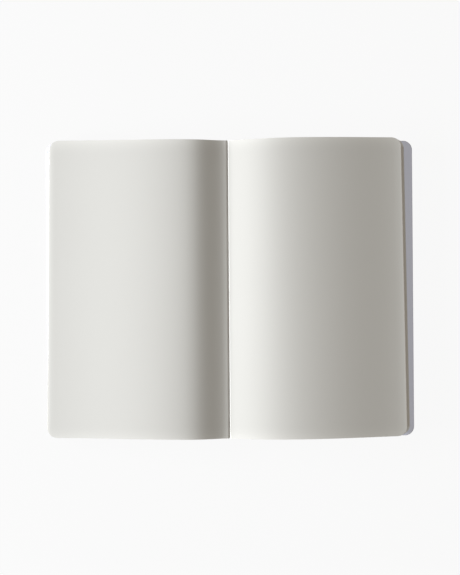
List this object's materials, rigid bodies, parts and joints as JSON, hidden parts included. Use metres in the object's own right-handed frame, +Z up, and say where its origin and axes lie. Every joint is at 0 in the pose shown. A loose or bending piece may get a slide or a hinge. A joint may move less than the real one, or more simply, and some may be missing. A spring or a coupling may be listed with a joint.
{
  "type": "sketchbook",
  "caption": "Limp-covered sewn sketchbook lying open: gatherings of plain leaves that turn on their folds, and a wrap-around cover that opens at scored lines.",
  "frame": {"origin": "middle of the underside of the spine, on the surface that the open book lies on", "axes": "+X across the open book from the front side to the back side, +Y along the spine towards the head of the page, +Z up out of the open pages"},
  "size_m": [0.261, 0.21, 0.0088],
  "materials": {
    "page": "matt uncoated drawing paper",
    "page_fold": "matt uncoated drawing paper",
    "cover": "matt limp card",
    "endpaper": "matt paper",
    "lining": "open cotton weave",
    "glue": "dried cold glue",
    "thread": "waxed linen thread"
  },
  "bodies": {
    "spine": {"spine_cover": "cover", "spine_lining": "lining", "spine_glue": "glue", "sewing_thread": "thread", "fold_1": "page_fold", "fold_2": "page_fold", "fold_3": "page_fold", "fold_4": "page_fold", "fold_5": "page_fold", "fold_6": "page_fold", "fold_7": "page_fold", "fold_8": "page_fold"},
    "leaves_1": {"leaves_1": "page"},
    "leaves_2": {"leaves_2": "page"},
    "leaves_3": {"leaves_3": "page"},
    "leaves_4": {"leaves_4": "page"},
    "leaves_5": {"leaves_5": "page"},
    "leaves_6": {"leaves_6": "page"},
    "leaves_7": {"leaves_7": "page"},
    "leaves_8": {"leaves_8": "page"},
    "front_strip": {"front_strip": "cover"},
    "front_cover": {"front_cover": "cover", "front_endpaper": "endpaper"},
    "back_strip": {"back_strip": "cover"},
    "back_cover": {"back_cover": "cover", "back_endpaper": "endpaper"}
  },
  "joints": [
    {"name": "front_side_close", "type": "hinge", "parent": "spine", "child": "leaves_1", "pos_m": [-0.0036, 0, 0.00165], "axis": [0, 1, 0], "range_deg": [0, 84]},
    {"name": "front_leaves_2_turn", "type": "hinge", "parent": "spine", "child": "leaves_2", "pos_m": [-0.0027, 0, 0.00255], "axis": [0, 1, 0], "range_deg": [0, 84]},
    {"name": "front_leaves_3_turn", "type": "hinge", "parent": "spine", "child": "leaves_3", "pos_m": [-0.0018, 0, 0.00345], "axis": [0, 1, 0], "range_deg": [0, 84]},
    {"name": "front_strip_crease", "type": "hinge", "parent": "spine", "child": "front_strip", "pos_m": [-0.00495, 0, 0.0003], "axis": [0, 1, 0], "range_deg": [0, 84]},
    {"name": "front_cover_open", "type": "hinge", "parent": "front_strip", "child": "front_cover", "pos_m": [-0.01095, 0, 0.0003], "axis": [0, 1, 0], "range_deg": [-90, 0]},
    {"name": "back_side_close", "type": "hinge", "parent": "spine", "child": "leaves_8", "pos_m": [0.0036, 0, 0.00165], "axis": [0, -1, 0], "range_deg": [0, 84]},
    {"name": "back_leaves_7_turn", "type": "hinge", "parent": "spine", "child": "leaves_7", "pos_m": [0.0027, 0, 0.00255], "axis": [0, -1, 0], "range_deg": [0, 84]},
    {"name": "back_leaves_6_turn", "type": "hinge", "parent": "spine", "child": "leaves_6", "pos_m": [0.0018, 0, 0.00345], "axis": [0, -1, 0], "range_deg": [0, 84]},
    {"name": "back_leaves_5_turn", "type": "hinge", "parent": "spine", "child": "leaves_5", "pos_m": [0.0009, 0, 0.00435], "axis": [0, -1, 0], "range_deg": [0, 84]},
    {"name": "back_leaves_4_turn", "type": "hinge", "parent": "spine", "child": "leaves_4", "pos_m": [0, 0, 0.00525], "axis": [0, -1, 0], "range_deg": [0, 84]},
    {"name": "back_strip_crease", "type": "hinge", "parent": "spine", "child": "back_strip", "pos_m": [0.00495, 0, 0.0003], "axis": [0, -1, 0], "range_deg": [0, 84]},
    {"name": "back_cover_open", "type": "hinge", "parent": "back_strip", "child": "back_cover", "pos_m": [0.01095, 0, 0.0003], "axis": [0, -1, 0], "range_deg": [-90, 0]}
  ],
  "couplings": [
    {"joint": "front_leaves_2_turn", "follows": "front_side_close", "ratio": 1},
    {"joint": "front_leaves_3_turn", "follows": "front_side_close", "ratio": 1},
    {"joint": "front_strip_crease", "follows": "front_side_close", "ratio": 1},
    {"joint": "back_leaves_7_turn", "follows": "back_side_close", "ratio": 1},
    {"joint": "back_leaves_6_turn", "follows": "back_side_close", "ratio": 1},
    {"joint": "back_leaves_5_turn", "follows": "back_side_close", "ratio": 1},
    {"joint": "back_leaves_4_turn", "follows": "back_side_close", "ratio": 1},
    {"joint": "back_strip_crease", "follows": "back_side_close", "ratio": 1}
  ]
}
